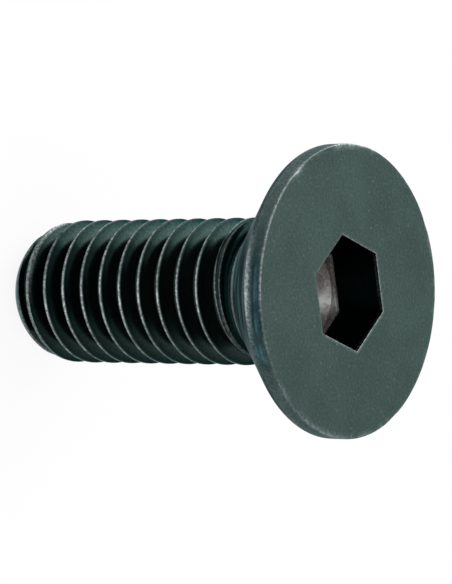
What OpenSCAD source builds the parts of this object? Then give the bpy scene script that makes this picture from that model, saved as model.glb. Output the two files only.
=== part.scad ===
// Countersunk clamping screw with a hexagon socket and a right-hand metric thread.
// One forged and thread-rolled steel piece. It stands on its threaded end, axis on Z, head up.

/* [Thread] */
// Diameter over the thread crests
major_d = 5.95; // [5.6:0.05:6]
// Distance from one crest to the next
pitch = 1; // [0.75:0.05:1.25]
// Angle by which the thread start is turned about the axis
thread_turn = 57; // [-180:1:180]
// Length of the run-out, where the thread fades into the neck
run_out = 0.5; // [0.3:0.1:2]
// Length of plain neck between the run-out and the head's cone
neck_length = 0.2; // [0.15:0.05:1.5]

/* [Threaded end] */
// Diameter of the flat end face
end_d = 3.7; // [3:0.1:4.5]
// Length over which the rounded end rises to the full crest
lead_in = 2.6; // [1:0.1:4]

/* [Head] */
// Length of the whole screw, head included
length = 16; // [12:1:25]
// Diameter of the head
head_d = 11.6; // [11:0.1:12.6]
// Height of the cylindrical land round the head's rim
land_h = 0.75; // [0.4:0.05:1.2]
// Included angle of the countersunk cone
cone_angle = 90; // [80:1:100]
// Radius between the cone and the neck
neck_fillet = 0.4; // [0.25:0.05:0.8]
// Edge break between the face and the land
face_edge = 0.08; // [0.02:0.01:0.2]
// Edge break between the land and the cone
land_edge = 0.06; // [0.02:0.01:0.15]

/* [Socket] */
// Width of the hexagon socket across its flats
socket_af = 4.06; // [3.5:0.02:4.5]
// Depth of the socket's flats
socket_depth = 2.26; // [1.8:0.02:2.6]
// Angle by which the socket is turned about the axis
socket_turn = 12; // [0:1:60]
// Depth of the shallow conical bottom below the flats
bottom_cone_h = 0.5; // [0.2:0.05:0.8]
// Width of the flat ring left between the bottom cone and the flats
bottom_ring = 0.2; // [0.1:0.05:0.5]

/* [Hidden] */

// Smoothness of true round surfaces, which stay exact at any value above 12
$fn = 96;
// Facets in one turn of the thread
turn_steps = 48;
// How far the threaded rod reaches up inside the neck, and how far it lies inside the neck's wall
rod_overlap = 0.3;
rod_inset = 0.03;
// Least distance between a thread row and the end face, the collar or the neck, so that no sliver is left
end_gap = 0.06;
// Extra reach of cutting tools past the face that they cut
cut_past = 1;

// Basic metric profile: sharp triangle height, crest and root flats, depth of engagement
sharp_h = pitch * sqrt(3) / 2;
crest_flat = pitch / 8;
root_flat = pitch / 4;
thread_depth = sharp_h * 17 / 24;
crest_r = major_d / 2;
root_r = crest_r - thread_depth;
// The root is rounded: its middle is the deepest, its edges lie a little higher
root_edge_lift = thread_depth * 0.08;
// A rolled thread's plain neck has about the pitch diameter
neck_r = crest_r - sharp_h * 3 / 8;

// Heights on the axis
cone_slope = tan(cone_angle / 2);
land_bottom = length - land_h;
cone_bottom = land_bottom - (head_d / 2 - neck_r) / cone_slope;
neck_bottom = cone_bottom - neck_length;
// The thread ends in a plain collar just under the neck, and the rod goes on up inside the neck
collar_z = neck_bottom - end_gap;
rod_top = neck_bottom + rod_overlap;

// Rows of one pitch of thread, each as [height along the pitch, radius], from crest to crest
flank = (pitch - crest_flat - root_flat) / 2;
rows = [
    [-crest_flat / 2, crest_r],
    [crest_flat / 2, crest_r],
    [crest_flat / 2 + flank, root_r + root_edge_lift],
    [pitch / 2, root_r],
    [pitch - crest_flat / 2 - flank, root_r + root_edge_lift]
];
row_count = len(rows);

// Largest radius at a height near the threaded end: steep at the face, then a slow rise to the full crest
function end_limit(z) =
    z < lead_in ? crest_r - (crest_r - end_d / 2) * pow(1 - z / lead_in, 3) : crest_r;

// Share of the full thread depth at a height: 1 along the thread, falling to 0 over the run-out
function thread_share(z) = max(0, min(1, (collar_z - z) / run_out));

// Radius of the rod at a height where the full thread would have radius r
function rod_r(r, z) =
    let (wall = neck_r - rod_inset)
    min(end_limit(z), wall + (r - wall) * thread_share(z));

// Height of a row at a step round the turn: row numbers run on from pitch to pitch
function row_z(row, step) =
    pitch * (floor(row / row_count) - 1 + (step + 0.5) / turn_steps) + rows[row % row_count][0];
function row_first(step) = ceil_row(step, end_gap);
function row_last(step) = ceil_row(step, collar_z - end_gap) - 1;
// First row that lies above a height at this step
function ceil_row(step, z, row = 0) = row_z(row, step) > z ? row : ceil_row(step, z, row + 1);

function at(r, step, z) =
    let (angle = thread_turn + 360 * step / turn_steps)
    [r * cos(angle), r * sin(angle), z];

// One upright line of points on the rod's wall: end face, thread rows, collar, top face
function wall_line(step) = concat(
    [at(end_limit(0), step, 0)],
    [for (row = [row_first(step):row_last(step)])
        let (z = row_z(row, step)) at(rod_r(rows[row % row_count][1], z), step, z)],
    [for (z = [collar_z, rod_top]) at(rod_r(neck_r, z), step, z)]
);

// Threaded rod as one closed polyhedron, from the end face up into the neck
module threaded_rod() {
    lines = [for (step = [0:turn_steps - 1]) wall_line(step)];
    firsts = [for (step = [0:turn_steps - 1]) row_first(step)];
    // Number of the first point of each line
    starts = [for (step = 0, n = 0; step <= turn_steps; n = n + (step < turn_steps ? len(lines[step]) : 0),
        step = step + 1) n];
    points = [for (line = lines) each line];
    walls = [for (step = [0:turn_steps - 1])
        let (
            next = (step + 1) % turn_steps,
            // Past the last step the same row has a number one pitch higher
            shift = next == 0 ? row_count : 0,
            here = [for (i = [0:len(lines[step]) - 1]) starts[step] + i],
            there = [for (i = [0:len(lines[next]) - 1]) starts[next] + i],
            // First and last rows that both lines have
            low = max(firsts[step], firsts[next] - shift),
            high = min(firsts[step] + len(here) - 4, firsts[next] - shift + len(there) - 4),
            here_low = 1 + low - firsts[step],
            there_low = 1 + low - firsts[next] + shift,
            span = high - low
        )
        each concat(
            // Below the first shared row
            [concat([for (i = [0:here_low]) here[i]], [for (i = [there_low:-1:0]) there[i]])],
            // Between shared rows
            [for (i = [0:span - 1])
                let (h = here_low + i, t = there_low + i)
                [here[h], here[h + 1], there[t + 1], there[t]]],
            // Above the last shared row, up to the collar
            [concat([for (i = [here_low + span:len(here) - 2]) here[i]],
                [for (i = [len(there) - 2:-1:there_low + span]) there[i]])],
            // From the collar to the top
            [[here[len(here) - 2], here[len(here) - 1], there[len(there) - 1], there[len(there) - 2]]]
        )];
    bottom = [for (step = [0:turn_steps - 1]) starts[step]];
    top = [for (step = [turn_steps - 1:-1:0]) starts[step + 1] - 1];
    polyhedron(points, concat([bottom], [top], walls), convexity = 10);
}

// Half section of the head: face, rim land, cone and neck, with a round fillet under the cone
module head_section() {
    rim_r = head_d / 2;
    half = cone_angle / 2;
    // The fillet touches the neck and the cone at this distance from their corner
    fillet_r = min(neck_fillet, 0.9 * neck_length / tan(half / 2));
    reach = fillet_r * tan(half / 2);
    centre = [neck_r + fillet_r, cone_bottom - reach];
    cone_touch = [neck_r + reach * sin(half), cone_bottom + reach * cos(half)];
    inside = neck_r / 2;
    union() {
        polygon([
            [0, length],
            [rim_r - face_edge, length],
            [rim_r, length - face_edge],
            [rim_r, land_bottom + land_edge],
            [rim_r - land_edge, land_bottom - land_edge / cone_slope],
            [neck_r, cone_bottom],
            [neck_r, neck_bottom],
            [0, neck_bottom]
        ]);
        difference() {
            polygon([[inside, centre[1]], centre, cone_touch, [inside, cone_touch[1]]]);
            translate(centre) circle(fillet_r);
        }
    }
}

// Hexagon with flats, cut straight down from the face, with a shallow cone in its bottom
module socket_cut() {
    flats_bottom = length - socket_depth;
    translate([0, 0, flats_bottom]) {
        rotate([0, 0, socket_turn])
            cylinder(h = socket_depth + cut_past, d = socket_af / cos(30), $fn = 6);
        translate([0, 0, -bottom_cone_h])
            cylinder(h = bottom_cone_h, r1 = 0, r2 = socket_af / 2 - bottom_ring);
    }
}

module clamping_screw() {
    color("#3d4a47")
    union() {
        difference() {
            rotate_extrude() head_section();
            socket_cut();
        }
        threaded_rod();
    }
}

clamping_screw();
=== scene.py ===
from math import atan2, cos, degrees, exp, pi, radians, sin, tan

import bmesh
import bpy
from mathutils import Matrix, Vector, noise


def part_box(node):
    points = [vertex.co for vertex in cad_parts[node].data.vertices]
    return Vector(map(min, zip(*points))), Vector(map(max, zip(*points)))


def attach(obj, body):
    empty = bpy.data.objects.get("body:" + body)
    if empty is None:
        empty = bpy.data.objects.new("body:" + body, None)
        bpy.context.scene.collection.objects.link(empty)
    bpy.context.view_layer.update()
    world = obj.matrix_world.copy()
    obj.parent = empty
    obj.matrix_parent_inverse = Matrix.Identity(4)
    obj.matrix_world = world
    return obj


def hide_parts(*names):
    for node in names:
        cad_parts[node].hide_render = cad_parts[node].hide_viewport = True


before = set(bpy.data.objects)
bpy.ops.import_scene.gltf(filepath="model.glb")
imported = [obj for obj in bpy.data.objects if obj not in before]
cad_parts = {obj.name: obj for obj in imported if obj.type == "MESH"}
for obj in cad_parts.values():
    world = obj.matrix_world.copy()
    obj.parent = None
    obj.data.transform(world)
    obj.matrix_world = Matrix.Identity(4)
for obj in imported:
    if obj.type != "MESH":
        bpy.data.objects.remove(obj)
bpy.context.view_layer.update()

mm = 0.001  # the frame is in metres, the sizes below are in millimetres
cadLow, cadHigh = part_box("clamping_screw")
screwLength = (cadHigh[2] - cadLow[2]) / mm
headRadius = (cadHigh[0] - cadLow[0]) / 2 / mm
print("frame: screw", round(screwLength, 3), "mm long, head", round(2 * headRadius, 3), "mm across")


# Screw: thread, head and socket in one closed mesh

screw = {
    "crestRadius": 2.97,
    "pitch": 1.0,
    "threadTurn": 57.0,  # degrees from +X to where a crest starts
    "crestFlat": 0.042,  # half the width of a crest's flat
    "crestNarrow": 1.15,  # share by which the worn line on a crest fades at its sides towards the head
    "crestRound": 0.045,
    "rootRound": 0.144,
    "seamDepth": 0.06,  # groove in the crest where the last turn isn't filled
    "seamSpread": 0.9,  # how much wider that crest is, as a share of its width
    "runOut": 0.42,
    "neckRadius": 2.645,
    "neckLength": 0.2,
    "endRadius": 1.85,
    "leadIn": 2.6,
    "endDish": 0.06,
    "landHeight": 0.75,
    "neckFillet": 0.4,
    "faceEdge": 0.035,
    "landEdge": 0.12,
    # patches round the axis: degrees from +X, width in degrees, amount
    "nicks": [(-144, 2.5, 0.085), (-48, 3, 0.05), (-28, 4, 0.045),
              (30, 2, 0.02), (118, 2, 0.02), (174, 3, 0.03)],
    # worn crests, with a painted highlight where the rubs peak at -84 degrees
    "crestRubsAndHighlight": [(-84, 13, 1.0), (-138, 24, 0.3), (-40, 26, 0.15), (8, 12, 0.7),
                  (60, 15, 0.8), (140, 12, 0.7), (196, 10, 0.5)],
    # partly worn steel and partly painted highlight on the land's edge, the largest at -91 degrees
    "landRubsAndHighlight": [(-91, 10, 1.5), (-28, 6, 0.4), (14, 8, 0.6), (72, 11, 0.8), (150, 9, 0.6), (196, 8, 0.5)],
    # painted sheen on the flanks, in three patches round the axis
    "flankPaintedSheen": [(-170, 17, 0.012), (-5, 20, 0.003), (95, 24, 0.01)],
    # painted shade on the flanks, darkest near the tip, at -92 and 90 degrees
    "flankPaintedShade": [(-92, 36, 1.0), (90, 40, 1.0)],
    # painted highlight on the last crest's two ridges, brightest at -80 degrees
    "seamRubsAndHighlight": [(-80, 24, 0.8), (100, 30, 0.5)],
    # patches where the land keeps the rim's darker tone; elsewhere it comes up towards the face's tone
    "landDarkPatches": [(-82, 17, 1.0), (28, 14, 0.7), (70, 16, 0.8), (125, 20, 0.9)],
    "landDust": [(-165, 22, 0.18), (-46, 14, 0.06), (-8, 14, 0.13), (50, 14, 0.08), (100, 16, 0.12)],
    "edgeRubs": [(-120, 18, 0.8), (-91, 6, 0.6), (-70, 4, 0.2),
                 (-176, 12, 0.35), (64, 22, 0.4), (128, 9, 0.3)],
    "edgeDust": [(181, 9, 0.6), (-8, 14, 0.4), (20, 8, 0.3), (100, 14, 0.3)],
    "socketAcross": 4.06,
    "socketTurn": 12.0,
    "socketDepth": 2.26,
    "socketShift": (0.075, -0.045),  # the punch stood a little off the axis
    "socketLip": 0.03,
    "socketBorder": 0.12,  # ring of face between the lip and the rest of the face
    "floorFillet": 0.1,
    # painted highlights on the socket's floor
    "floorHighlights": [(77, 11, 1.0), (96, 24, 0.08), (-40, 20, 0.8), (-150, 25, 0.7)],
    "floorDish": 0.5,
    "floorRing": 0.2,
    "steps": 192,  # facets in one turn
}
flankAngle = radians(60)  # from the radial direction to a flank's normal
faceTone, rimTone, flankTone, blackTone = 0.0, 0.33, 0.66, 1.0  # places on the oxide's colour ramp
mergeGap, cutGap = 1e-4 * mm, 1e-5 * mm  # distances within which points are one


def arcPoints(centre, radius, start, end, steps):
    points = []
    for step in range(steps + 1):
        turn = start + (end - start) * step / steps
        points.append((centre[0] + radius * cos(turn), centre[1] + radius * sin(turn)))
    return points


def addProfile(bm, points):
    # points are (radius, height, wear and painted highlight, tone, offset) in millimetres, joined in order by
    # edges
    wearAndHighlight, tone, offset = (bm.verts.layers.float[name] for name in ("wearAndHighlight", "tone", "offset"))
    verts = []
    for point in points:
        vert = bm.verts.new((point[0] * mm, 0, point[1] * mm))
        vert[wearAndHighlight], vert[tone], vert[offset] = point[2:]
        verts.append(vert)
    edges = [bm.edges.new(pair) for pair in zip(verts, verts[1:])]
    return verts + edges


def boundaryAt(bm, height):
    # open edges that lie at one height, in millimetres
    found = []
    for edge in bm.edges:
        if edge.is_boundary and all(abs(vert.co.z / mm - height) < 1e-3 for vert in edge.verts):
            found.append(edge)
    return found


def bumpAt(bumps, vert):
    # sum of soft bumps (degrees, width, amount) round the axis, at a vertex
    angle = degrees(atan2(vert.co.y, vert.co.x))
    total = 0.0
    for place, width, amount in bumps:
        apart = (angle - place + 180) % 360 - 180
        total += amount * exp(-(apart / width) ** 2 / 2)
    return total


def threadPitchRows(sizes):
    # one pitch from crest to crest
    flat, crest, root = sizes["crestFlat"], sizes["crestRound"], sizes["rootRound"]
    pitch, top = sizes["pitch"], sizes["crestRadius"]
    flankRun = pitch / 2 - flat - (crest + root) * sin(flankAngle)
    depth = (crest + root) * (1 - cos(flankAngle)) + flankRun * tan(flankAngle)
    seamHalf = 0.6 * flat
    rise = [(top, 0.0, 1.0, flankTone, 0.0), (top, seamHalf, 1.0, flankTone, seamHalf)]
    corner = arcPoints((top - crest, flat), crest, 0, flankAngle, 3)
    crestWear = (0.96, 0.4, 0.05, 0.0)
    for (radius, height), amount in zip(corner, crestWear):
        rise.append((radius, height, amount, flankTone, height))
    cornerRadius, cornerHeight = corner[-1]
    flankCuts, support = 3, 0.012  # loops close to a flank's two edges keep its shading flat
    runs = [support] + [flankRun * cut / flankCuts for cut in range(1, flankCuts)] + [flankRun - support]
    darkest, darkFade = 0.3, 1.4  # painted shade: a flank is blackest beside the crest
    for run in runs:
        depthShare = run / flankRun
        shade = flankTone + darkest * max(0.0, 1 - darkFade * depthShare)
        radius = cornerRadius - run * tan(flankAngle)
        rise.append((radius, cornerHeight + run, 0.0, shade, cornerHeight * (1 - depthShare)))
    rootTone = flankTone + 0.1
    rootCentre = (top - depth + root, pitch / 2)
    for radius, height in arcPoints(rootCentre, root, pi + flankAngle, pi, 3):
        rise.append((radius, height, 0.0, rootTone, 0.0))
    fall = [(radius, pitch - height, amount, tone, -offset)
            for radius, height, amount, tone, offset in rise[1:-1]]
    return rise + fall[::-1]


def endLimit(sizes, height):
    # largest radius at a height near the end: steep at the end face, then a slow rise to the full crest
    if height >= sizes["leadIn"]:
        return sizes["crestRadius"]
    share = 1 - max(0.0, height) / sizes["leadIn"]
    return sizes["crestRadius"] - (sizes["crestRadius"] - sizes["endRadius"]) * share ** 3


def threadBody(bm, sizes, top):
    # a profile of many pitches spun through one turn while it rises by one pitch
    pitch, steps = sizes["pitch"], sizes["steps"]
    rows = []
    for turn in range(-1, int(top / pitch) + 3):
        for row in threadPitchRows(sizes):
            rows.append((row[0], row[1] + turn * pitch) + row[2:])
    geom = addProfile(bm, rows)
    bmesh.ops.spin(bm, geom=geom, cent=(0, 0, 0), axis=(0, 0, 1), dvec=(0, 0, pitch * mm / steps),
                   angle=2 * pi, steps=steps, use_merge=False, use_duplicate=False)
    bmesh.ops.remove_doubles(bm, verts=bm.verts, dist=mergeGap)
    turned = Matrix.Rotation(radians(sizes["threadTurn"]), 3, "Z")
    bmesh.ops.rotate(bm, verts=bm.verts, cent=(0, 0, 0), matrix=turned)
    for height, away in ((0, -1), (top, 1)):
        bmesh.ops.bisect_plane(bm, geom=bm.verts[:] + bm.edges[:] + bm.faces[:], dist=cutGap,
                               plane_co=(0, 0, height * mm), plane_no=(0, 0, away), clear_outer=True)
    noseLoops = (0.04, 0.1, 0.18, 0.28, 0.4, 0.55, 0.75)  # loops that let the nose bend
    fadeLoops = [top - drop for drop in (0.05, 0.1, 0.16, 0.23, 0.32, 0.42)]  # and the run-out fade
    for height in (*noseLoops, *fadeLoops):
        near = [vert for vert in bm.verts if abs(vert.co.z / mm - height) < pitch / 2]
        geom = {item for vert in near for item in (vert, *vert.link_edges, *vert.link_faces)}
        bmesh.ops.bisect_plane(bm, geom=list(geom), dist=cutGap,
                               plane_co=(0, 0, height * mm), plane_no=(0, 0, 1))


def shapeThread(bm, sizes, top):
    # run-out under the head, open seam in the last crest, rounded end and rubbed crests; painted highlights
    # on the crests, painted shade and sheen on the flanks and painted shade over the run-out
    wearAndHighlight, tone, offset = (bm.verts.layers.float[name] for name in ("wearAndHighlight", "tone", "offset"))
    neck, fadeStart = sizes["neckRadius"], top - sizes["runOut"]
    onCrest, onCorner = 0.95, 0.02  # least wear of a crest's flat and of its rounded corner
    seamRise, seamHalf = 0.6, 0.8 * sizes["crestFlat"]  # length over which the seam opens, half its width
    seamDull, seamRubbed, seamBlack = 0.85, 0.8, 1.5  # how the seam takes the wear off its crest
    cornerDull, cutDull = 0.5, 0.6  # the same for the crest's corners and for the cut-down first crests
    paintedShadeTop = 10  # height at which the painted shade on the flanks ends
    lineCore, lineFade = 0.01, 0.05  # half a worn line's full width, and the width of its fading side
    leastRub = 0.38  # share of the wear where nothing rubbed the crest
    coarse, fine = 2.5, 6.5  # sizes of the wear's unevenness, per millimetre
    gritMean, coarseShare, fineShare, gritLeast = 0.95, 0.45, 0.6, 0.1
    cutMargin = 0.1  # the cut ends of the thread stay flat over this height
    endWear, noseWear, noseHeight = 0.06, 0.34, 0.6
    capStep = 0.025  # how far a crest is cut down where its wear is full
    for vert in bm.verts:
        height, radius, place = vert.co.z / mm, vert.co.xy.length / mm, vert.co / mm
        share = min(1.0, max(0.0, (top - height) / sizes["runOut"]))
        unfilled = min(1.0, max(0.0, (height - fadeStart + seamRise) / seamRise)) * share
        newRadius = neck + (radius - neck) * share
        paintedSheen = 0.0
        if vert[wearAndHighlight] > onCrest:
            inSeam = unfilled if abs(vert[offset]) < seamHalf else 0.0
            newRadius -= sizes["seamDepth"] * inSeam
            vert[wearAndHighlight] *= 1 - unfilled * (seamDull - min(seamRubbed, bumpAt(sizes["seamRubsAndHighlight"], vert)))
            vert[wearAndHighlight] *= max(0.0, 1 - seamBlack * inSeam)
        elif vert[wearAndHighlight] > onCorner:
            vert[wearAndHighlight] *= 1 - cornerDull * unfilled
        else:  # painted shade: the flanks darken towards black on two sides of the threaded end, most near the tip
            paintedFlankShade = min(1.0, bumpAt(sizes["flankPaintedShade"], vert)) * max(0.0, 1 - height / paintedShadeTop)
            vert[tone] += (blackTone - vert[tone]) * paintedFlankShade
            # painted sheen, added to the flanks' wear
            paintedSheen = bumpAt(sizes["flankPaintedSheen"], vert) * share
        besideLine = min(1.0, max(0.0, abs(vert[offset]) - lineCore) / lineFade) * (1 - unfilled)
        vert[wearAndHighlight] *= max(0.0, 1 - sizes["crestNarrow"] * besideLine * height / top)
        # the crests' wear, with a painted highlight where the rubs peak
        rubAndHighlight = leastRub + (1 - leastRub) * min(1.0, bumpAt(sizes["crestRubsAndHighlight"], vert))
        vert[wearAndHighlight] *= min(1.0, share * 2) * rubAndHighlight
        gritty = coarseShare * noise.noise(place * coarse) + fineShare * noise.noise(place * fine)
        vert[wearAndHighlight] = vert[wearAndHighlight] * max(gritLeast, gritMean + gritty) + paintedSheen
        # painted shade: over the run-out under the head the thread darkens to black
        vert[tone] += (blackTone - vert[tone]) * min(1.0, 2 - 2 * share)
        if cutMargin < height < top - cutMargin:
            vert.co.z += vert[offset] * sizes["seamSpread"] * unfilled * mm
        limit = endLimit(sizes, height)
        if newRadius > limit:
            rubbedEnd = endWear + noseWear * min(1.0, height / noseHeight)
            vert[wearAndHighlight] = max(vert[wearAndHighlight] * cutDull, rubbedEnd * min(1.0, (newRadius - limit) / capStep))
            newRadius = limit
        vert.co.xy *= newRadius / radius


def pulledLoop(bm, edges, scale, rise):
    # pulls a new loop from a loop of open edges, scaled about the axis and raised
    made = bmesh.ops.extrude_edge_only(bm, edges=edges)["geom"]
    verts = [item for item in made if isinstance(item, bmesh.types.BMVert)]
    bmesh.ops.scale(bm, vec=(scale, scale, 1), verts=verts)
    bmesh.ops.translate(bm, vec=(0, 0, rise * mm), verts=verts)
    return [item for item in made if isinstance(item, bmesh.types.BMEdge)], verts


def paint(bm, verts, wearAndHighlight, tone):
    for vert in verts:
        vert[bm.verts.layers.float["wearAndHighlight"]] = wearAndHighlight
        vert[bm.verts.layers.float["tone"]] = tone


def threadEnd(bm, sizes):
    # flat end with a shallow dish, as the blank was sheared
    ring = boundaryAt(bm, 0)
    for scale, rise in ((0.8, 0.0), (0.94, sizes["endDish"] / 2), (0.94, sizes["endDish"] / 2)):
        ring, verts = pulledLoop(bm, ring, scale, rise)
        paint(bm, verts, 0.0, rimTone)
    bmesh.ops.contextual_create(bm, geom=ring)


def headShell(bm, sizes, bottom):
    # neck, fillet, cone, rim and the outer part of the face, spun in one full turn
    rim, face, neck = headRadius, screwLength, sizes["neckRadius"]
    coneFoot = face - sizes["landHeight"] - (rim - neck)
    fillet, reach = sizes["neckFillet"], sizes["neckFillet"] * tan(pi / 8)
    land, edge = sizes["landEdge"], sizes["faceEdge"]
    # painted shade: the neck is black, and the fillet's lower half darkens from the cone's tone to black
    rows = [(neck, bottom, 0.0, blackTone)]
    # painted highlight: the fillet's upper half takes the bare-steel colour, a bright line along the cone's
    # foot
    filletSteps, filletHighlight = 8, 0.6
    filletArc = arcPoints((neck + fillet, coneFoot - reach), fillet, pi, pi * 0.75, filletSteps)
    for step, (radius, height) in enumerate(filletArc):
        share = step / filletSteps
        paintedFilletShade = max(0.0, 1 - 2 * share)
        shade = rimTone + (blackTone - rimTone) * paintedFilletShade
        rows.append((radius, height, filletHighlight * max(0.0, 2 * share - 1), shade))
    landArc = arcPoints((rim - land, face - sizes["landHeight"] + land * tan(pi / 8)), land, -pi / 4, 0, 5)
    foot, brow = filletArc[-1], landArc[0]
    coneRows = ((0.05, 0.4), (0.11, 0.03), (0.3, 0.0), (0.5, 0.0), (0.75, 0.0), (0.94, 0.05))
    for share, amount in coneRows:  # share of the way up the cone, wear; near the foot this wear carries on the fillet's painted highlight
        radius = foot[0] + (brow[0] - foot[0]) * share
        height = foot[1] + (brow[1] - foot[1]) * share
        rows.append((radius, height, amount, rimTone))
    # painted highlight: the rounded land edge and the land just above it take the bare-steel colour
    landArcWearAndHighlight = (0.3, 0.5, 0.6, 0.64, 0.66, 0.66)
    rows += [(radius, height, amount, rimTone) for (radius, height), amount in zip(landArc, landArcWearAndHighlight)]
    landRowWearAndHighlight = ((0.05, 0.5), (0.12, 0.24), (0.2, 0.06), (0.3, 0.0), (0.4, 0.0))
    for rise, amount in landRowWearAndHighlight:  # height above the rounded edge, wear and painted highlight
        rows.append((rim, landArc[-1][1] + rise, amount, rimTone + 0.06 + 0.1 * rise))
    for drop, amount, lift in ((0.12, 0.0, 0.08), (0.06, 0.02, 0.04)):  # below the face's edge
        rows.append((rim, face - edge - drop, amount, rimTone + lift))
    edgeSteps, edgeWear = 4, 0.04
    faceArc = arcPoints((rim - edge, face - edge), edge, 0, pi / 2, edgeSteps)
    for step, (radius, height) in enumerate(faceArc):
        rows.append((radius, height, edgeWear, rimTone + (faceTone - rimTone) * step / edgeSteps))
    for inward, amount in ((0.04, 0.02), (0.10, 0.0), (0.25, 0.0)):  # on the face
        rows.append((rim - edge - inward, face, amount, faceTone))
    geom = addProfile(bm, [row + (0.0,) for row in rows])
    bmesh.ops.spin(bm, geom=geom, cent=(0, 0, 0), axis=(0, 0, 1), dvec=(0, 0, 0),
                   angle=2 * pi, steps=sizes["steps"], use_merge=True, use_duplicate=False)


def rimWearAndHighlight(bm, sizes):
    # rubbed patches, partly painted highlight, and small dents round the rim, where screws knock against each
    # other in the box; the land keeps a darker tone in some patches
    wearAndHighlight, tone = bm.verts.layers.float["wearAndHighlight"], bm.verts.layers.float["tone"]
    landFoot = screwLength - sizes["landHeight"]
    rimReach, coneReach = 0.6, 0.4  # how far the rim goes inwards on the face and down the cone
    rubAndHighlightTop, darkPatchFoot = landFoot + 0.45, landFoot + 0.1  # top of the rubbed and highlighted line, foot of the dark patches
    edgeDrop, edgeReach, lineReach = 0.12, 0.2, 0.05  # the face's edge, and the bare line along it
    patchSize, roughSize, dotSize = 1.4, 1.7, 2.6  # of stains, dents and dust, per millimetre
    leastRub, mostRub = 0.1, 1.4
    onRim, fadedTone = 0.02, 0.42  # the land's own width inwards, and how far its tone comes up to the face's
    dentDepth, dentWear, nickWear = 0.008, 0.25, 3.0
    for vert in bm.verts:
        radius, height, place = vert.co.xy.length / mm, vert.co.z / mm, vert.co / mm
        inward, below = headRadius - radius, screwLength - height
        if inward > rimReach or height < landFoot - coneReach:
            continue
        # the land's rubs are partly worn steel and partly painted highlight
        if height < rubAndHighlightTop:
            vert[wearAndHighlight] *= leastRub + (1 - leastRub) * min(mostRub, bumpAt(sizes["landRubsAndHighlight"], vert))
        if inward < onRim and height > darkPatchFoot:
            patchy = 1 - 0.8 * noise.noise(place * patchSize)
            darkPatch = min(1.0, bumpAt(sizes["landDarkPatches"], vert)) * patchy
            vert[tone] = max(0.0, vert[tone] - fadedTone * max(0.0, 1 - darkPatch))
            vert[wearAndHighlight] += bumpAt(sizes["landDust"], vert)
        nearFace = max(0.0, 1 - abs(below) / edgeDrop) * max(0.0, 1 - inward / edgeReach)
        onLine = max(0.0, 1 - below / lineReach) * max(0.0, 1 - inward / lineReach)
        uneven = noise.fractal(place * roughSize, 0.8, 2.1, 3)
        nick = bumpAt(sizes["nicks"], vert)
        dotted = max(0.0, 0.4 + 1.6 * noise.noise(place * dotSize))
        vert[wearAndHighlight] += nearFace * (dentWear * max(0.0, uneven - 0.1) + nickWear * nick)
        vert[wearAndHighlight] += onLine * bumpAt(sizes["edgeRubs"], vert)
        vert[wearAndHighlight] += nearFace * dotted * bumpAt(sizes["edgeDust"], vert)
        depth = nearFace * (dentDepth * max(0.0, uneven) + nick)
        vert.co.xy *= (radius - depth) / radius
        vert.co.z -= 0.5 * depth * mm


def wireRing(bm):
    # edges that have no face yet: the circle that was made last
    return [edge for edge in bm.edges if edge.is_wire]


def hexSocket(bm, sizes):
    # lip and straight walls of the hexagon, from the face down to the floor's fillet
    half, lip = sizes["socketAcross"] / 2, sizes["socketLip"]
    outer = half + lip + sizes["socketBorder"]
    turned = Matrix.Rotation(radians(sizes["socketTurn"] + 30), 4, "Z")  # Blender's hexagon has a corner on Y
    bmesh.ops.create_circle(bm, cap_ends=False, segments=6, radius=outer / cos(pi / 6) * mm,
                            matrix=Matrix.Translation((0, 0, screwLength * mm)) @ turned)
    bmesh.ops.subdivide_edges(bm, edges=wireRing(bm), cuts=7)
    mouthRing = ring = wireRing(bm)
    support = 0.15  # depth of a loop that keeps the walls' shading flat
    wall = sizes["socketDepth"] - lip - support - sizes["floorFillet"]
    rows = [  # half width across flats, drop, wear and tone of each loop down to the floor; the walls' black tone is painted shade
        (half + lip, 0.0, 0.1, faceTone),
        (half + lip * 0.3, lip * 0.3, 0.7, faceTone),
        (half, lip * 0.7, 0.5, blackTone),
        (half, support, 0.0, blackTone),
        (half, wall, 0.0, blackTone),
    ]
    size = outer
    for width, drop, amount, shade in rows:
        ring, verts = pulledLoop(bm, ring, width / size, -drop)
        paint(bm, verts, amount, shade)
        size = width
    return mouthRing, ring


def socketFloor(bm, sizes, wallRing):
    # small fillet and flat ring inside the hexagon, then a shallow dish left by the punch
    half, fillet = sizes["socketAcross"] / 2, sizes["floorFillet"]
    wallVerts = {vert for edge in wallRing for vert in edge.verts}
    known = set(bm.faces)
    filletRing = pulledLoop(bm, wallRing, (half - 0.7 * fillet) / half, -fillet)[0]
    dishRadius, floorHeight = half - sizes["floorRing"], screwLength - sizes["socketDepth"]
    turned = Matrix.Rotation(radians(sizes["socketTurn"]), 4, "Z")
    bmesh.ops.create_circle(bm, cap_ends=False, segments=48, radius=dishRadius * mm,
                            matrix=Matrix.Translation((0, 0, floorHeight * mm)) @ turned)
    ring = wireRing(bm)
    bmesh.ops.bridge_loops(bm, edges=filletRing + ring)
    dishRows = ((0.97, 0.06), (0.9, 0.1), (0.6, 0.18), (0.3, 0.12))  # shares of the radius and of the depth
    dropScale = sizes["floorDish"] / sum(drop for share, drop in dishRows)
    size = 1.0
    for share, drop in dishRows:
        ring = pulledLoop(bm, ring, share / size, -drop * dropScale)[0]
        size = share
    bmesh.ops.contextual_create(bm, geom=ring)
    floor = [face for face in bm.faces if face not in known]
    for face in floor:
        face.material_index = 1
    wearAndHighlight = bm.verts.layers.float["wearAndHighlight"]
    # painted highlight: bare steel at a few places round the floor
    for vert in {vert for face in floor for vert in face.verts} - wallVerts:
        vert[wearAndHighlight] = min(1.0, bumpAt(sizes["floorHighlights"], vert))


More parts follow.
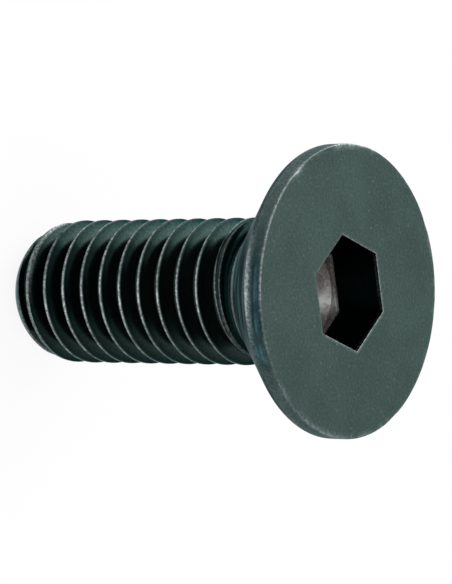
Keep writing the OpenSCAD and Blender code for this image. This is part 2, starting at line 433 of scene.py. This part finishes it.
def shiftSocket(bm, sizes):
    # moves the socket off the axis; nothing else lies so high up and so near the axis
    shiftX, shiftY = sizes["socketShift"]
    lowest = screwLength - sizes["socketDepth"] - 2 * sizes["floorDish"]
    reach = sizes["socketAcross"] / 2 + 0.57  # past the corners of the border
    moved = [vert for vert in bm.verts if vert.co.z > lowest * mm and vert.co.xy.length < reach * mm]
    bmesh.ops.translate(bm, vec=(shiftX * mm, shiftY * mm, 0), verts=moved)


def buildScrew(sizes):
    bm = bmesh.new()
    for name in ("wearAndHighlight", "tone", "offset"):
        bm.verts.layers.float.new(name)
    coneFoot = screwLength - sizes["landHeight"] - (headRadius - sizes["neckRadius"])
    threadTop = coneFoot - sizes["neckLength"]
    threadBody(bm, sizes, threadTop)
    shapeThread(bm, sizes, threadTop)
    threadEnd(bm, sizes)
    threadRing = boundaryAt(bm, threadTop)
    print("thread:", len(bm.faces), "faces,", len(threadRing), "edges round its top")
    known = set(bm.edges)
    neckFoot = threadTop + 0.02
    headShell(bm, sizes, neckFoot)
    headOpen = [edge for edge in bm.edges if edge not in known and edge.is_boundary]
    neckRing = [edge for edge in headOpen if edge.verts[0].co.z < coneFoot * mm]
    faceRing = [edge for edge in headOpen if edge not in neckRing]
    bmesh.ops.bridge_loops(bm, edges=threadRing + neckRing)
    rimWearAndHighlight(bm, sizes)
    mouthRing, wallRing = hexSocket(bm, sizes)
    socketFloor(bm, sizes, wallRing)
    shiftSocket(bm, sizes)
    bmesh.ops.triangle_fill(bm, edges=faceRing + mouthRing, use_beauty=True,
                            use_dissolve=False, normal=(0, 0, 1))
    bmesh.ops.remove_doubles(bm, verts=bm.verts, dist=mergeGap)
    bmesh.ops.recalc_face_normals(bm, faces=bm.faces)
    openEdges = sum(1 for edge in bm.edges if not edge.is_manifold)
    print("screw:", len(bm.faces), "faces,", openEdges, "open edges")
    bm.verts.layers.float.remove(bm.verts.layers.float["offset"])
    mesh = bpy.data.meshes.new("clampingScrew")
    bm.to_mesh(mesh)
    bm.free()
    sharpAngle = radians(38)
    mesh.shade_smooth()
    mesh.set_sharp_from_angle(angle=sharpAngle)
    obj = bpy.data.objects.new("clampingScrew", mesh)
    bpy.context.scene.collection.objects.link(obj)
    return obj


# Finishes

def addNode(tree, kind, place, **values):
    node = tree.nodes.new(kind)
    node.location = place
    for name, value in values.items():
        if hasattr(node, name):
            setattr(node, name, value)
        else:
            node.inputs[name].default_value = value
    return node


def addRange(tree, place, source, span, levels=(0.0, 1.0)):
    # maps an output's values from one span to another and stops at its ends
    node = addNode(tree, "ShaderNodeMapRange", place)
    for label, value in zip(("From Min", "From Max", "To Min", "To Max"), (*span, *levels)):
        node.inputs[label].default_value = value
    tree.links.new(source, node.inputs["Value"])
    return node.outputs[0]


def addMath(tree, place, operation, first, second):
    node = addNode(tree, "ShaderNodeMath", place, operation=operation)
    for value, socket in ((first, node.inputs[0]), (second, node.inputs[1])):
        if isinstance(value, (int, float)):
            socket.default_value = value
        else:
            tree.links.new(value, socket)
    return node.outputs[0]


def addBlend(tree, place, share, below, above):
    # mixes two colours; each is a fixed colour or another node's output
    node = addNode(tree, "ShaderNodeMix", place, data_type="RGBA")
    tree.links.new(share, node.inputs[0])
    for value, socket in ((below, node.inputs[6]), (above, node.inputs[7])):
        if isinstance(value, tuple):
            socket.default_value = value
        else:
            tree.links.new(value, socket)
    return node.outputs[2]


def newGroup(name, inputs, outputs):
    group = bpy.data.node_groups.new(name, "ShaderNodeTree")
    for label, value in inputs.items():
        socket = group.interface.new_socket(label, in_out="INPUT", socket_type="NodeSocketFloat")
        socket.default_value = value
    for label in outputs:
        group.interface.new_socket(label, in_out="OUTPUT", socket_type="NodeSocketFloat")
    start = addNode(group, "NodeGroupInput", (-900, 0))
    end = addNode(group, "NodeGroupOutput", (700, 0))
    return group, start, end


def grainGroup():
    # fine speckle, slow cloudiness and sparse flecks of an etched, oiled steel surface
    group, start, end = newGroup("steelGrain", {"Speckle Size": 9.0, "Cloud Size": 0.6},
                                 ("Speckle", "Cloud", "Height", "Fleck"))
    link = group.links.new
    coords = addNode(group, "ShaderNodeTexCoord", (-900, -300))
    inMm = addNode(group, "ShaderNodeVectorMath", (-700, -300), operation="SCALE", Scale=1 / mm)
    link(coords.outputs["Object"], inMm.inputs[0])
    speckle = addNode(group, "ShaderNodeTexNoise", (-400, 100), Detail=3.0, Roughness=0.65)
    cloud = addNode(group, "ShaderNodeTexNoise", (-400, -200), Detail=4.0, Roughness=0.55)
    fleck = addNode(group, "ShaderNodeTexNoise", (-400, -500), Scale=7.0, Detail=0.0)
    for texture, label in ((speckle, "Speckle"), (cloud, "Cloud"), (fleck, "Fleck")):
        link(inMm.outputs[0], texture.inputs["Vector"])
        link(texture.outputs["Fac"], end.inputs[label])
    link(start.outputs["Speckle Size"], speckle.inputs["Scale"])
    link(start.outputs["Cloud Size"], cloud.inputs["Scale"])
    cloudHeight = addMath(group, (0, 0), "MULTIPLY", cloud.outputs["Fac"], 0.35)
    link(addMath(group, (200, 0), "ADD", cloudHeight, speckle.outputs["Fac"]), end.inputs["Height"])
    return group


def marksGroup():
    # fine rings left by turning, round the screw's axis
    group, start, end = newGroup("turnMarks", {"Rings": 5.0}, ("Marks",))
    link = group.links.new
    coords = addNode(group, "ShaderNodeTexCoord", (-900, -300))
    inMm = addNode(group, "ShaderNodeVectorMath", (-750, -300), operation="SCALE", Scale=1 / mm)
    link(coords.outputs["Object"], inMm.inputs[0])
    flat = addNode(group, "ShaderNodeVectorMath", (-600, -300), operation="MULTIPLY")
    flat.inputs[1].default_value = (1, 1, 0)
    link(inMm.outputs[0], flat.inputs[0])
    radius = addNode(group, "ShaderNodeVectorMath", (-450, -450), operation="LENGTH")
    link(flat.outputs[0], radius.inputs[0])
    around = addNode(group, "ShaderNodeVectorMath", (-450, -200), operation="NORMALIZE")
    link(flat.outputs[0], around.inputs[0])
    parts = addNode(group, "ShaderNodeSeparateXYZ", (-600, -100))
    link(inMm.outputs[0], parts.inputs[0])
    slope = -0.7  # makes wider rings on the cone
    inward = addMath(group, (-300, -450), "MULTIPLY", radius.outputs["Value"], slope)
    along = addMath(group, (-300, -300), "ADD", inward, parts.outputs["Z"])
    ringed = addMath(group, (-150, -300), "MULTIPLY", along, start.outputs["Rings"])
    raised = addNode(group, "ShaderNodeCombineXYZ", (0, -300))
    link(ringed, raised.inputs["Z"])
    place = addNode(group, "ShaderNodeVectorMath", (150, -200), operation="ADD")
    link(around.outputs[0], place.inputs[0])
    link(raised.outputs[0], place.inputs[1])
    marks = addNode(group, "ShaderNodeTexNoise", (300, -200), Scale=1.0, Detail=2.0, Roughness=0.6)
    link(place.outputs[0], marks.inputs["Vector"])
    link(marks.outputs["Fac"], end.inputs["Marks"])
    return group


noiseSpan = (0.35, 0.65)  # most of a noise texture's values lie in it

oxide = {
    "face": (0.060, 0.090, 0.081, 1),
    "rim": (0.002, 0.021, 0.028, 1),
    "flank": (0.0200, 0.0345, 0.0305, 1),
    "streak": (0.05, 0.125, 0.14, 1),
    "black": (0.0015, 0.0075, 0.0068, 1),
    "faded": 0.4,  # how far the cloudy patches of the rim come up to the face's colour
    "patchSpan": (0.42, 0.68),  # each span is where a texture's mask starts and is full
    "streakSpan": (0.46, 0.64),
    "streakShare": 0.9,
    "streakRoughness": 0.3,
    "grainLevels": (0.84, 1.18),  # darkest and palest, as shares of the colour
    "cloudLevels": (0.93, 1.07),
    "speckSpan": (0.60, 0.72),
    "speckShares": (0.22, 0.03),  # on the head and in the thread
    "fleckSpan": (0.77, 0.83),
    "fleckShare": 0.6,
    "wornAndHighlightSpan": (0.40, 0.58),
    "wornAndHighlightLevels": (0.35, 1.0),
    "speck": (0.16, 0.19, 0.18, 1),
    "wornAndHighlight": (0.56, 0.62, 0.62, 1),
    "roughness": (0.44, 0.20),  # on the head and in the thread
    "unevenRoughness": (-0.05, 0.05),
    "metallic": (0.95, 0.4),  # less where turning left the rim and cone dull
    "specular": 0.2,
    "edgeTint": (0.36, 0.455, 0.475, 1),  # colour of reflections at a low angle
    "bump": 0.08,
}


def oxideMaterial(look, grain, rings):
    mat = bpy.data.materials.new("blackOxide")
    mat.use_nodes = True
    tree = mat.node_tree
    link = tree.links.new
    shader = tree.nodes["Principled BSDF"]
    shader.inputs["Specular IOR Level"].default_value = look["specular"]
    shader.inputs["Specular Tint"].default_value = look["edgeTint"]
    texture = addNode(tree, "ShaderNodeGroup", (-1300, 0), node_tree=grain)
    speckle, cloud = texture.outputs["Speckle"], texture.outputs["Cloud"]
    turned = addNode(tree, "ShaderNodeGroup", (-1300, 1000), node_tree=rings)
    wearAndHighlight = addNode(tree, "ShaderNodeAttribute", (-1300, -350), attribute_name="wearAndHighlight").outputs["Fac"]
    tone = addNode(tree, "ShaderNodeAttribute", (-1300, 350), attribute_name="tone").outputs["Fac"]
    ramp = addNode(tree, "ShaderNodeValToRGB", (-1050, 350))
    stops = ramp.color_ramp.elements
    stops[0].color, stops[1].color = look["face"], look["black"]
    stops.new(rimTone).color = look["rim"]
    stops.new(flankTone).color = look["flank"]
    link(tone, ramp.inputs["Fac"])
    # rim and cone: faded patches and turned rings
    rimGap = addMath(tree, (-1200, 700), "SUBTRACT", tone, rimTone)
    rimApart = addMath(tree, (-1120, 600), "ABSOLUTE", rimGap, 0)
    nearRim = addRange(tree, (-1050, 700), rimApart, (0.12, 0.0))
    patches = addRange(tree, (-1050, 900), cloud, look["patchSpan"], (0.0, look["faded"]))
    faded = addMath(tree, (-850, 800), "MULTIPLY", nearRim, patches)
    base = addBlend(tree, (-650, 400), faded, ramp.outputs[0], look["face"])
    streakLevels = (0.0, look["streakShare"])
    marks = addRange(tree, (-1050, 1100), turned.outputs["Marks"], look["streakSpan"], streakLevels)
    streaks = addMath(tree, (-850, 1000), "MULTIPLY", nearRim, marks)
    streaked = addBlend(tree, (-550, 600), streaks, base, look["streak"])
    # grain everywhere, specks and, on the face, sparse flecks
    grainPart = addRange(tree, (-650, 150), speckle, noiseSpan, look["grainLevels"])
    cloudPart = addRange(tree, (-650, 0), cloud, noiseSpan, look["cloudLevels"])
    grainy = addNode(tree, "ShaderNodeVectorMath", (-450, 500), operation="SCALE")
    link(streaked, grainy.inputs[0])
    link(addMath(tree, (-550, 80), "MULTIPLY", grainPart, cloudPart), grainy.inputs["Scale"])
    speckPart = addRange(tree, (-1050, -100), tone, (rimTone, flankTone), look["speckShares"])
    speckMask = addRange(tree, (-1050, -250), speckle, look["speckSpan"])
    specks = addMath(tree, (-850, 0), "MULTIPLY", speckPart, speckMask)
    onFace = addRange(tree, (-1050, 200), tone, (0.0, 0.1), (look["fleckShare"], 0.0))
    fleckMask = addRange(tree, (-1050, 50), texture.outputs["Fleck"], look["fleckSpan"])
    flecks = addMath(tree, (-850, 150), "MULTIPLY", onFace, fleckMask)
    pale = addMath(tree, (-650, 50), "MAXIMUM", specks, flecks)
    specked = addBlend(tree, (-450, 300), pale, grainy.outputs[0], look["speck"])
    # bare steel where the oxide is rubbed off, and painted highlights in the same colour
    broken = addRange(tree, (-850, -350), speckle, look["wornAndHighlightSpan"], look["wornAndHighlightLevels"])
    wornAndHighlight = addMath(tree, (-650, -350), "MULTIPLY", wearAndHighlight, broken)
    link(addBlend(tree, (-250, 300), wornAndHighlight, specked, look["wornAndHighlight"]), shader.inputs["Base Color"])
    rough = addRange(tree, (-850, -100), tone, (rimTone, flankTone), look["roughness"])
    uneven = addRange(tree, (-850, -600), cloud, (0.3, 0.7), look["unevenRoughness"])
    unevenPart = addMath(tree, (-650, -100), "ADD", rough, uneven)
    ringPart = addMath(tree, (-650, -250), "MULTIPLY", streaks, look["streakRoughness"])
    link(addMath(tree, (-450, -100), "ADD", unevenPart, ringPart), shader.inputs["Roughness"])
    link(addRange(tree, (-450, 900), nearRim, (0.0, 1.0), look["metallic"]), shader.inputs["Metallic"])
    bump = addNode(tree, "ShaderNodeBump", (-250, -550), Strength=look["bump"], Distance=0.02 * mm)
    link(texture.outputs["Height"], bump.inputs["Height"])
    link(bump.outputs[0], shader.inputs["Normal"])
    return mat


socketSteel = {
    "colour": (0.66, 0.67, 0.65, 1),
    "stain": (0.12, 0.10, 0.095, 1),
    "cloudSize": 1.6,
    "highlightShares": (0.04, 1.0),  # share of bare steel where the floor is dull and where a highlight is painted
    "clearSpan": (0.36, 0.58),
    "clearLevels": (0.3, 1.0),
    "grainLevels": (-0.12, 0.14),
    "metallic": 0.45,
    "roughness": 0.45,
    "bump": 0.25,
}


def socketMaterial(look, grain):
    mat = bpy.data.materials.new("socketSteel")
    mat.use_nodes = True
    tree = mat.node_tree
    link = tree.links.new
    shader = tree.nodes["Principled BSDF"]
    shader.inputs["Metallic"].default_value = look["metallic"]
    shader.inputs["Roughness"].default_value = look["roughness"]
    texture = addNode(tree, "ShaderNodeGroup", (-700, 0), node_tree=grain)
    texture.inputs["Cloud Size"].default_value = look["cloudSize"]
    shine = addNode(tree, "ShaderNodeAttribute", (-700, 350), attribute_name="wearAndHighlight").outputs["Fac"]
    highlighted = addRange(tree, (-500, 350), shine, (0.0, 1.0), look["highlightShares"])
    clear = addRange(tree, (-500, 150), texture.outputs["Cloud"], look["clearSpan"], look["clearLevels"])
    grainPart = addRange(tree, (-500, 0), texture.outputs["Speckle"], noiseSpan, look["grainLevels"])
    lit = addMath(tree, (-400, 300), "MULTIPLY", highlighted, clear)
    steelShare = addMath(tree, (-350, 300), "ADD", lit, grainPart)
    colour = addBlend(tree, (-300, 200), steelShare, look["stain"], look["colour"])
    bump = addNode(tree, "ShaderNodeBump", (-300, -200), Strength=look["bump"], Distance=0.03 * mm)
    link(texture.outputs["Height"], bump.inputs["Height"])
    link(colour, shader.inputs["Base Color"])
    link(bump.outputs[0], shader.inputs["Normal"])
    return mat


screwObject = buildScrew(screw)
steelGrain = grainGroup()
screwObject.data.materials.append(oxideMaterial(oxide, steelGrain, marksGroup()))
screwObject.data.materials.append(socketMaterial(socketSteel, steelGrain))
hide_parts("clamping_screw")
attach(screwObject, "root")
print("finishes: black oxide and socket steel")


# Stage: pale floor, soft lamps, camera

stage = {
    "floorSize": 400.0,  # millimetres
    "floorColour": (0.9, 0.9, 0.9, 1),
    "floorGlow": 0.9,  # part of the floor's white that no shadow reaches
    "worldColour": (1.0, 1.0, 1.0, 1),
}


def seenRays(tree):
    # 1 for rays that show the background: straight, mirrored or through glass
    rays = addNode(tree, "ShaderNodeLightPath", (-1100, 300)).outputs
    mirrored = addMath(tree, (-900, 300), "MAXIMUM", rays["Is Camera Ray"], rays["Is Glossy Ray"])
    return addMath(tree, (-700, 300), "MAXIMUM", mirrored, rays["Is Transmission Ray"])


def floorMaterial(look):
    mat = bpy.data.materials.new("paleFloor")
    mat.use_nodes = True
    tree = mat.node_tree
    link = tree.links.new
    tree.nodes.remove(tree.nodes["Principled BSDF"])
    plain = addNode(tree, "ShaderNodeBsdfDiffuse", (-300, 100))
    plain.inputs["Color"].default_value = look["floorColour"]
    glow = addNode(tree, "ShaderNodeEmission", (-300, -100))
    mixed = addNode(tree, "ShaderNodeMixShader", (0, 100))
    link(addMath(tree, (-300, 300), "MULTIPLY", seenRays(tree), look["floorGlow"]), mixed.inputs[0])
    link(plain.outputs[0], mixed.inputs[1])
    link(glow.outputs[0], mixed.inputs[2])
    link(mixed.outputs[0], tree.nodes["Material Output"].inputs["Surface"])
    return mat


def addFloor(look):
    bm = bmesh.new()
    bmesh.ops.create_grid(bm, x_segments=1, y_segments=1, size=look["floorSize"] / 2 * mm)
    mesh = bpy.data.meshes.new("paleFloor")
    bm.to_mesh(mesh)
    bm.free()
    floor = bpy.data.objects.new("paleFloor", mesh)
    bpy.context.scene.collection.objects.link(floor)
    mesh.materials.append(floorMaterial(look))


def addWorld(look):
    world = bpy.data.worlds.new("studio")
    world.use_nodes = True
    bpy.context.scene.world = world
    light = world.node_tree.nodes["Background"]
    light.inputs["Color"].default_value = look["worldColour"]
    light.inputs["Strength"].default_value = 1.0


lamps = [  # place, size and height aimed at in millimetres, power in watts
    {"name": "sideLamp", "place": (-155, 150, 133), "size": 190, "aimHeight": 9, "power": 0.32},
]


def addLamp(lamp):
    data = bpy.data.lights.new(lamp["name"], "AREA")
    data.size = lamp["size"] * mm
    data.energy = lamp["power"]
    obj = bpy.data.objects.new(lamp["name"], data)
    bpy.context.scene.collection.objects.link(obj)
    obj.location = Vector(lamp["place"]) * mm
    aim = Vector((0, 0, lamp["aimHeight"] * mm)) - obj.location
    obj.rotation_euler = aim.to_track_quat("-Z", "Y").to_euler()


photo = {
    "width": 452,
    "height": 584,
    "focalPixels": 3276.0,
    "sensorWidth": 36,
    "faceCentre": (350.74, 291.34),  # pixel of the head's centre
    "axisAngle": 51.60,  # degrees between the screw's axis and the line of sight
    "distance": 128.44,  # millimetres to the head's face along the line of sight
}


def addCamera(view):
    angle = radians(view["axisAngle"])
    right = Vector((0, cos(angle), sin(angle)))
    down = Vector((1, 0, 0))
    ahead = Vector((0, sin(angle), -cos(angle)))
    scale = view["distance"] / view["focalPixels"]
    across = (view["faceCentre"][0] - view["width"] / 2) * scale
    below = (view["faceCentre"][1] - view["height"] / 2) * scale
    place = Vector((0, 0, screwLength)) - right * across - down * below - ahead * view["distance"]
    data = bpy.data.cameras.new("camera")
    data.sensor_width = view["sensorWidth"]
    data.lens = view["focalPixels"] * data.sensor_width / max(view["width"], view["height"])
    data.clip_start = 1 * mm
    obj = bpy.data.objects.new("camera", data)
    bpy.context.scene.collection.objects.link(obj)
    turn = Matrix((right, -down, -ahead)).transposed()
    obj.matrix_world = Matrix.Translation(place * mm) @ turn.to_4x4()
    bpy.context.scene.camera = obj


addFloor(stage)
addWorld(stage)
for lamp in lamps:
    addLamp(lamp)
addCamera(photo)
bpy.context.scene.view_settings.view_transform = "Standard"
print("stage: floor,", len(lamps), "lamps and camera")
